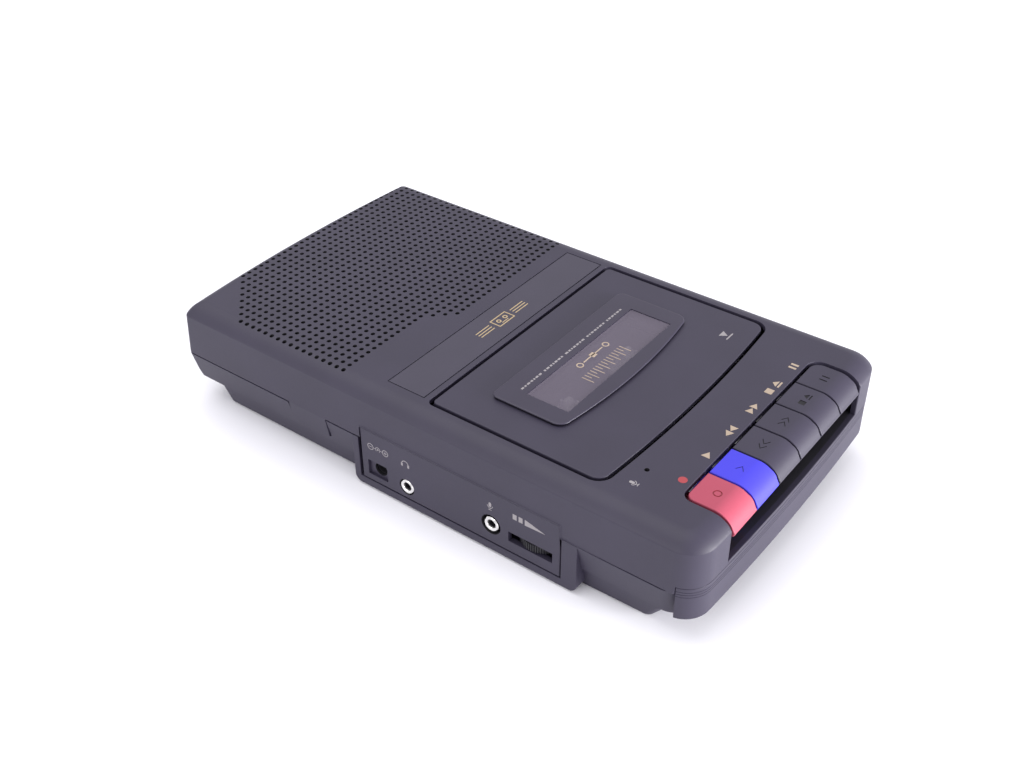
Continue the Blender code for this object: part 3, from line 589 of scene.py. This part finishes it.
def bezel():
    (_, x1), (y0, y1), (_, z1) = BEZEL
    bow = 3.2

    def ring(z, inset):
        return (z, bowed(x1 - inset, y0 + bow + inset, y1 - inset * 0.6, 5.0 - inset * 0.6,
                         3.0 - inset * 0.5, bow, 0.0, 12, 24))

    body = loft("window_bezel", [ring(TOP_Z - 0.05, 0.25), ring(z1 - 0.45, 0.0),
                                 ring(z1 - 0.2, 0.08), ring(z1 - 0.05, 0.3),
                                 ring(z1, 0.6)], FINISH["gloss"])
    (wx0, wx1), (wy0, wy1), _ = WINDOW
    cut(body, prism("window_hole", [(wx0 - 0.3, wy0 - 0.3), (wx1 + 0.3, wy0 - 0.3),
                                    (wx1 + 0.3, wy1 + 0.3), (wx0 - 0.3, wy1 + 0.3)], 40, 60))
    # The bezel's lower side faces take the near-black edge colour: painted shade of the
    # undercut.
    body.data.materials.append(UNDERCUT_SHADE)
    for face in body.data.polygons:
        if abs(face.normal.z) < 0.45 and face.center.z < (z1 - 0.4) * MM and not (
                wx0 - 0.5 < face.center.x / MM < wx1 + 0.5
                and wy0 - 0.5 < face.center.y / MM < wy1 + 0.5):
            face.material_index = len(body.data.materials) - 1
    mount(shade(body, 40), "cassette_lid", "gloss", "door_bezel")
    pane = box("window_pane", (wx0 - 0.25, wx1 + 0.25), (wy0 - 0.25, wy1 + 0.25),
               (z1 - 1.6, z1 - 0.3), FINISH["clear"])
    soften(pane, 0.12, 2)
    mount(shade(pane), "cassette_lid", "clear", "door_window")


def name_strip():
    strip = box("name_strip", (-59.95, 60.65), (2.75, 20.45), (TOP_Z - 0.5, TOP_Z - 0.04), STRIP)
    soften(strip, 0.2, 2)
    mount(shade(strip), "case", "charcoal")


# ---- keys --------------------------------------------------------------------------
def chevron(bm, x, y, way, z0, z1, reach=1.15, rise=1.55, width=0.62):
    """A > shaped stroke that points along +X, or along -X where way is -1."""
    points = [(-reach, rise), (-reach + width, rise), (reach + width, 0.0),
              (-reach + width, -rise), (-reach, -rise), (reach, 0.0)]
    outline = [(x + way * (a - width / 2), y + b) for a, b in points]
    add_prism(bm, outline if way > 0 else outline[::-1], z0, z1)


def bar(bm, x0, x1, y0, y1, z0, z1):
    add_prism(bm, [(x0, y0), (x1, y0), (x1, y1), (x0, y1)], z0, z1)


def key_mark(index, x, y, z0, z1):
    """Engraving cutter with the key's transport symbol."""
    bm = bmesh.new()
    if index == 0:
        add_ring(bm, (x, y), 1.75, 1.2, z0, z1, sides=36)
    elif index == 1:
        chevron(bm, x, y, 1, z0, z1)
    elif index == 2:
        chevron(bm, x - 1.5, y, -1, z0, z1)
        chevron(bm, x + 1.5, y, -1, z0, z1)
    elif index == 3:
        chevron(bm, x - 1.5, y, 1, z0, z1)
        chevron(bm, x + 1.5, y, 1, z0, z1)
    elif index == 4:
        bar(bm, x - 3.7, x - 1.1, y - 1.35, y + 1.35, z0, z1)
        bar(bm, x + 0.6, x + 3.8, y - 1.5, y - 0.95, z0, z1)
        add_prism(bm, [(x + 0.6, y - 0.35), (x + 3.8, y - 0.35), (x + 2.2, y + 1.5)], z0, z1)
    else:
        bar(bm, x - 1.6, x - 0.9, y - 1.6, y + 1.6, z0, z1)
        bar(bm, x + 0.9, x + 1.6, y - 1.6, y + 1.6, z0, z1)
    return bm


def keys():
    tones = ["red", "blue", "charcoal", "charcoal", "charcoal", "charcoal"]
    # Engravings take darker colours from their cutters: painted shade in the engraved symbols.
    engraving_shades = [RED_ENGRAVING_SHADE, BLUE_ENGRAVING_SHADE, RECESS_SHADE, RECESS_SHADE, RECESS_SHADE, RECESS_SHADE]
    for index, name in enumerate(KEYS):
        (x0, x1), _, (_, top) = span(name)
        centre = (x0 + x1) / 2
        cap = [(-105.5, top)] + arc((-116.2, top - 9.5), 9.5, 90, 158, 18)
        cap += [(-125.55, top - 6.6), (-125.4, top - 7.1), (-124.9, top - 8.2),
                (-124.3, top - 8.3), (-122.9, top - 8.0), (-120.6, top - 4.6),
                (-116.0, top - 2.6), (-107.5, top - 2.6), (-107.5, top - 6.7),
                (-105.5, top - 6.7)]
        body = prism(f"{name}_cap", cap, x0, x1, "X", FINISH[tones[index]])
        if index in (0, 5):
            side, radius = (-1, 3.1) if index == 0 else (1, 4.6)
            inner = (x0 if side < 0 else x1) - side * radius
            rear = -105.5 - radius
            curve = [(inner + side * radius * math.cos(a), rear + radius * math.sin(a))
                     for a in [math.pi / 2 * i / 12 for i in range(13)]]
            outline = curve + [(inner, -95.0), (side * 70.0, -95.0), (side * 70.0, rear)]
            cut(body, prism("key_corner", outline, 30.0, 60.0, finish=FINISH[tones[index]]))
        soften(body, 0.42, 3, 34, lambda m: m.z > top - 2.0 or m.y < -124.0)
        lever = prism("lever", [(-107.0, top - 1.7), (-119.5, top - 3.3), (-121.5, 41.2),
                                (-104.0, 33.2), (-97.0, 31.6), (-94.0, 33.0), (-94.0, 37.4),
                                (-97.5, 39.0), (-104.5, 42.5), (-105.6, top - 2.7)],
                      centre - 2.5, centre + 2.5, "X", FINISH[tones[index]])
        join(body, lever)
        cut(body, rod("eye", (centre, -97.0, 35.0), 1.55, 12, "X", sides=24))
        mark = add("mark", key_mark(index, centre, -113.6, top - 0.28, 60.0), engraving_shades[index])
        cut(body, mark)
        mount(shade(body, 32), name, tones[index], name)


# ---- volume wheel and sockets --------------------------------------------------------
def volume_wheel():
    (x0, _), (y0, y1), (z0, _) = WHEEL
    centre = ((x0 + x0 + 20.0) / 2, (y0 + y1) / 2)
    teeth, points = 64, []
    for i in range(teeth):
        for part, radius in ((0.0, 9.99), (0.42, 9.99), (0.58, 9.45), (0.86, 9.45)):
            angle = math.tau * (i + part) / teeth
            points.append((centre[0] + radius * math.cos(angle),
                           centre[1] + radius * math.sin(angle)))
    wheel = prism("volume_knob", points, z0, z0 + 3.2, "Z", FINISH["dark"])
    stem = rod("stem", (*centre, z0 + 4.6), 2.0, 3.4, "Z", FINISH["dark"], 32)
    join(wheel, stem)
    mount(shade(wheel, 24), "volume_wheel", "dark", "volume_wheel")


def socket(name, node):
    (x0, x1), (y0, y1), (z0, z1) = span(node)
    y, z = (y0 + y1) / 2, (z0 + z1) / 2
    bm = bmesh.new()
    profile = [(1.8, x0 + 0.55), (2.0, x0 + 0.2), (2.35, x0), (2.95, x0), (3.3, x0 + 0.35),
               (3.3, x0 + 6.0), (1.8, x0 + 6.0)]
    sides, rows = 48, []
    for i in range(sides):
        c, s = math.cos(math.tau * i / sides), math.sin(math.tau * i / sides)
        rows.append([bm.verts.new((x, y + r * c, z + r * s)) for r, x in profile])
    for i in range(sides):
        a, b = rows[i], rows[(i + 1) % sides]
        for k in range(len(profile)):
            m = (k + 1) % len(profile)
            bm.faces.new((a[k], a[m], b[m], b[k]))
    ring = add(f"{name}_ring", bm, FINISH["nickel"])
    shell = box("shell", (x0 + 2.9, x1), (y0, y1), (z0, z1), FINISH["dark"])
    # The bore's wall takes the near-black recess colour: painted shade.
    cut(shell, rod("bore", ((x0 + x1) / 2, y, z), 3.32, 9.0, "X", RECESS_SHADE, 48))
    join(ring, shell)
    mount(shade(ring, 35), "case", "nickel", node)
    tube = bmesh.new()
    add_ring(tube, (y, z), 2.0, 1.55, x0 + 0.8, x0 + 7.5, "X", 40)
    sleeve = add(f"{name}_sleeve", tube, FINISH["dark"])
    mount(shade(sleeve, 35), "case", "dark")


def dc_socket():
    (x0, x1), (y0, y1), (z0, z1) = DC
    shell = box("dc_shell", (x0, x1), (y0, y1), (z0, z1), FINISH["dark"])
    # The bore's wall takes the near-black recess colour: painted shade.
    cut(shell, rod("dc_bore", (-66.0, 18.2, 12.0), 2.75, 14, "X", RECESS_SHADE, 40))
    mount(shade(shell), "case", "dark", "dc_jack")


def screws():
    for i in range(1, 5):
        (x0, x1), (y0, y1), (z0, z1) = span(f"case_screw_{i}")
        x, y = (x0 + x1) / 2, (y0 + y1) / 2
        head = spun(f"screw_{i}", [(0.0, z0), (1.6, z0), (2.3, z0 + 0.25), (2.6, z0 + 0.6),
                                   (2.6, z1), (0.0, z1)], (x, y, 0), FINISH["steel"], 40)
        cut(head, box("slot_a", (x - 1.6, x + 1.6), (y - 0.3, y + 0.3), (0, z0 + 0.7)),
            box("slot_b", (x - 0.3, x + 0.3), (y - 1.6, y + 1.6), (0, z0 + 0.7)))
        mount(shade(head), "case", "steel", f"case_screw_{i}")


# ---- printed marks -------------------------------------------------------------------
INK = 0.045


def printed(name, bm, finish, body):
    mount(add(name, bm, finish), body, "charcoal")


def triangle(bm, x, y, way, z, size=1.55):
    points = [(x - way * size * 0.8, y + size), (x - way * size * 0.8, y - size),
              (x + way * size, y)]
    add_prism(bm, points, z, z + INK)


def key_labels():
    z, y = TOP_Z, -100.5
    centres = [-43.0, -26.0, -9.0, 8.0, 24.3, 41.6]
    red = bmesh.new()
    add_prism(red, arc((centres[0], y), 1.7, 0, 345, 23), z, z + INK)
    printed("label_record", red, PRINT_RED, "case")
    tan = bmesh.new()
    triangle(tan, centres[1], y, 1, z, 1.8)
    for dx in (-1.7, 1.7):
        triangle(tan, centres[2] + dx, y, -1, z, 1.7)
        triangle(tan, centres[3] + dx, y, 1, z, 1.7)
    x = centres[4]
    bar(tan, x - 4.6, x - 1.4, y - 1.5, y + 1.5, z, z + INK)
    bar(tan, x + 1.0, x + 5.0, y - 1.7, y - 1.0, z, z + INK)
    add_prism(tan, [(x + 1.0, y - 0.4), (x + 5.0, y - 0.4), (x + 3.0, y + 1.7)], z, z + INK)
    x = centres[5]
    bar(tan, x - 1.7, x - 0.6, y - 1.6, y + 1.6, z, z + INK)
    bar(tan, x + 0.6, x + 1.7, y - 1.6, y + 1.6, z, z + INK)
    printed("labels_keys", tan, PRINT, "case")


def microphone(bm, across, up, low, high, axis, flip=1):
    """Small microphone pictogram: capsule, cradle and stand."""
    def at(a, b):
        return across + flip * a, up + b

    capsule = ([at(*p) for p in arc((0, 0.9), 0.62, 0, 180, 10)]
               + [at(*p) for p in arc((0, -0.1), 0.62, 180, 360, 10)])
    add_prism(bm, capsule, low, high, axis)
    add_ring(bm, (across, up), 1.35, 1.08, low, high, axis, 18, 180.0, 180.0)
    for x0, x1, y0, y1 in ((-0.14, 0.14, -1.95, -1.3), (-0.8, 0.8, -2.2, -1.95)):
        add_prism(bm, [at(x0, y0), at(x1, y0), at(x1, y1), at(x0, y1)], low, high, axis)


def top_marks():
    z = TOP_Z
    bm = bmesh.new()
    microphone(bm, -54.6, -87.4, z, z + INK, "Z")
    printed("label_mic_hole", bm, INK_PALE, "case")
    z = TOP_Z - 0.04
    gold = bmesh.new()
    x0, x1, y0, y1 = -4.6, 5.6, 8.4, 14.2
    for a, b, c, d in ((x0, x1, y0, y0 + 0.5), (x0, x1, y1 - 0.5, y1),
                       (x0, x0 + 0.5, y0 + 0.5, y1 - 0.5), (x1 - 0.5, x1, y0 + 0.5, y1 - 0.5)):
        bar(gold, a, b, c, d, z, z + INK)
    for x in (-1.6, 2.6):
        add_ring(gold, (x, 11.5), 1.15, 0.6, z, z + INK, sides=24)
    bar(gold, -1.5, 2.5, 9.5, 9.9, z, z + INK)
    for a, b in ((-15.3, -6.6), (7.6, 16.3)):
        for y in (9.6, 11.1, 12.6):
            bar(gold, a, b, y, y + 0.45, z, z + INK)
    printed("strip_motif", gold, GOLD, "case")


def lid_marks():
    top = BEZEL[2][1]
    caption = bmesh.new()
    x = -35.6
    widths = [1.5, 1.0, 1.7, 1.2, 0.8, 1.5]
    count = 0
    while x < 34.4:
        width = widths[count % len(widths)]
        bar(caption, x, x + width, -25.6, -24.8, top, top + INK)
        x += width + (1.9 if count % 7 == 6 else 0.62)
        count += 1
    printed("bezel_caption", caption, INK_PALE, "cassette_lid")
    z = top - 0.3
    scale = bmesh.new()
    for i in range(15):
        x = -15.2 + 1.88 * i
        end = -44.6 if i % 2 == 0 else -42.4
        bar(scale, x - 0.18, x + 0.18, end, -39.1, z, z + INK)
    add_ring(scale, (-9.0, -34.0), 1.55, 1.05, z, z + INK, sides=28)
    add_ring(scale, (9.0, -34.0), 1.55, 1.05, z, z + INK, sides=28)
    bar(scale, -6.6, 6.6, -34.25, -33.75, z, z + INK)
    bar(scale, -1.3, 1.3, -35.3, -32.7, z, z + INK)
    printed("tape_scale", scale, PRINT, "cassette_lid")
    z = TOP_Z
    press = bmesh.new()
    add_prism(press, [(43.0, -66.4), (47.0, -66.4), (45.0, -69.4)], z, z + INK)
    bar(press, 42.4, 47.6, -70.6, -70.0, z, z + INK)
    printed("label_press", press, INK_PALE, "cassette_lid")


def side_marks():
    low, high = -HALF_W - INK, -HALF_W + 0.05
    ink = bmesh.new()
    for y in (22.0, 14.4):
        add_ring(ink, (y, 22.6), 1.55, 1.25, low, high, "X", 28)
        add_prism(ink, [(y - 0.8, 22.47), (y + 0.8, 22.47), (y + 0.8, 22.73), (y - 0.8, 22.73)],
                  low, high, "X")
    y = 14.4
    for z0, z1 in ((22.73, 23.4), (21.8, 22.47)):
        add_prism(ink, [(y - 0.13, z0), (y + 0.13, z0), (y + 0.13, z1), (y - 0.13, z1)],
                  low, high, "X")
    add_ring(ink, (18.2, 22.6), 1.25, 0.98, low, high, "X", 20, -50.0, 280.0)
    add_prism(ink, arc((18.2, 22.6), 0.42, 0, 330, 11), low, high, "X")
    for a, b in ((19.2, 20.5), (15.9, 17.0)):
        add_prism(ink, [(a, 22.5), (b, 22.5), (b, 22.7), (a, 22.7)], low, high, "X")
    add_ring(ink, (4.2, 22.2), 1.8, 1.45, low, high, "X", 22, 0.0, 180.0)
    for y in (2.6, 5.8):
        add_prism(ink, [(y - 0.45, 21.0), (y + 0.45, 21.0), (y + 0.45, 22.4), (y - 0.45, 22.4)],
                  low, high, "X")
    microphone(ink, -37.2, 23.2, low, high, "X")
    for a, b in ((-47.7, -49.5), (-50.4, -52.2)):
        add_prism(ink, [(b, 22.3), (a, 22.3), (a, 24.8), (b, 24.8)], low, high, "X")
    add_prism(ink, [(-53.2, 24.9), (-53.2, 22.1), (-62.4, 22.5)], low, high, "X")
    printed("side_labels", ink, INK_PALE, "case")


# ---- inner parts ---------------------------------------------------------------------
def spindles():
    for name in ("supply_spindle", "takeup_spindle"):
        (x0, x1), (y0, y1), (z0, z1) = span(name)
        x, y = (x0 + x1) / 2, (y0 + y1) / 2
        profile = [(0.0, z1), (0.9, z1 - 0.15), (1.9, z1 - 1.1), (2.5, z1 - 2.4),
                   (2.7, z1 - 4.2), (2.7, z1 - 8.4), (7.0, z1 - 8.9), (7.8, z1 - 9.2),
                   (8.0, z1 - 9.6), (8.0, z1 - 11.2), (3.0, z1 - 11.6), (1.2, z1 - 11.6),
                   (1.2, z0), (0.0, z0)]
        # The hubs and wings take the near-white spindle colour: painted glint.
        body = spun(f"{name}_hub", profile, (x, y, 0), SPINDLE_GLINT)
        wings = []
        for i in range(3):
            bm = bmesh.new()
            bmesh.ops.create_cube(bm, size=1.0)
            bmesh.ops.scale(bm, vec=(2.4, 1.1, 6.0), verts=bm.verts)
            bmesh.ops.bevel(bm, geom=bm.edges[:], offset=0.25, segments=2, affect="EDGES")
            bmesh.ops.translate(bm, vec=(3.0, 0, 0), verts=bm.verts)
            bmesh.ops.rotate(bm, cent=(0, 0, 0), verts=bm.verts,
                             matrix=Matrix.Rotation(math.radians(90 + 120 * i), 3, "Z"))
            bmesh.ops.translate(bm, vec=(x, y, z1 - 5.6), verts=bm.verts)
            wings.append(add("wing", bm, SPINDLE_GLINT))
        join(body, *wings)
        mount(shade(body, 32), name, "ivory", name)


def keep_frame_nodes():
    """Give every node that stays visible its procedural finish."""
    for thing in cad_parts.values():
        for place in thing.material_slots:
            base = place.material.name.split(".")[0] if place.material else "charcoal"
            place.material = FINISH.get(base, FINISH["charcoal"])


# ---- floor, light, camera ---------------------------------------------------------------
def stage():
    bm = bmesh.new()
    bmesh.ops.create_grid(bm, x_segments=2, y_segments=2, size=2600.0)
    white = finish_of("paper_floor", (0.90, 0.895, 0.93), 0.75, grain=500, bump=0.02,
                      mottle=0.004, uneven=0.02, specular=0.2)
    add("floor", bm, white)
    scene = bpy.context.scene
    world = bpy.data.worlds.new("soft_room")
    world.use_nodes = True
    world.node_tree.nodes["Background"].inputs["Color"].default_value = (0.965, 0.955, 1.0, 1)
    world.node_tree.nodes["Background"].inputs["Strength"].default_value = 0.95
    scene.world = world

    def softbox(name, place, aim, size, power):
        lamp = bpy.data.lights.new(name, "AREA")
        lamp.shape = "RECTANGLE"
        lamp.size, lamp.size_y = size
        lamp.energy = power
        thing = bpy.data.objects.new(name, lamp)
        thing.location = place
        thing.rotation_euler = (Vector(aim) - Vector(place)).to_track_quat("-Z", "Y").to_euler()
        scene.collection.objects.link(thing)

    softbox("front_window", (0.45, -2.3, 0.27), (0, 0.0, 0.03), (1.8, 0.6), 130.0)
    softbox("side_window", (-2.0, 0.3, 0.95), (0, 0, 0), (1.4, 1.0), 13.0)
    softbox("ceiling", (-0.1, 0.5, 1.7), (0, 0, 0), (1.6, 1.6), 15.0)
    scene.view_settings.view_transform = "Standard"
    scene.view_settings.look = "None"
    scene.view_settings.exposure = 0.0
    scene.view_settings.gamma = 1.0


def camera():
    lens = bpy.data.cameras.new("camera")
    lens.sensor_width = SENSOR_WIDTH
    lens.lens = FOCAL_LENGTH
    lens.clip_start, lens.clip_end = 0.01, 20.0
    thing = bpy.data.objects.new("camera", lens)
    back = Vector(CAMERA_BACK).normalized()
    right = Vector((0, 0, 1)).cross(back).normalized()
    up = back.cross(right)
    facing = Matrix((right, up, back)).transposed().to_4x4()
    roll = Matrix.Rotation(math.radians(CAMERA_ROLL_DEG), 4, "Z")
    thing.matrix_world = Matrix.Translation(CAMERA_PLACE) @ facing @ roll
    bpy.context.scene.collection.objects.link(thing)
    bpy.context.scene.camera = thing


keep_frame_nodes()
upper_case()
grille_cloth()
lower_case()
battery_cover()
feet()
screws()
carry_handle()
cassette_lid()
bezel()
name_strip()
keys()
volume_wheel()
socket("earphone", "earphone_jack")
socket("mic", "mic_jack")
dc_socket()
spindles()
key_labels()
top_marks()
lid_marks()
side_marks()
stage()
camera()

bpy.context.view_layer.update()
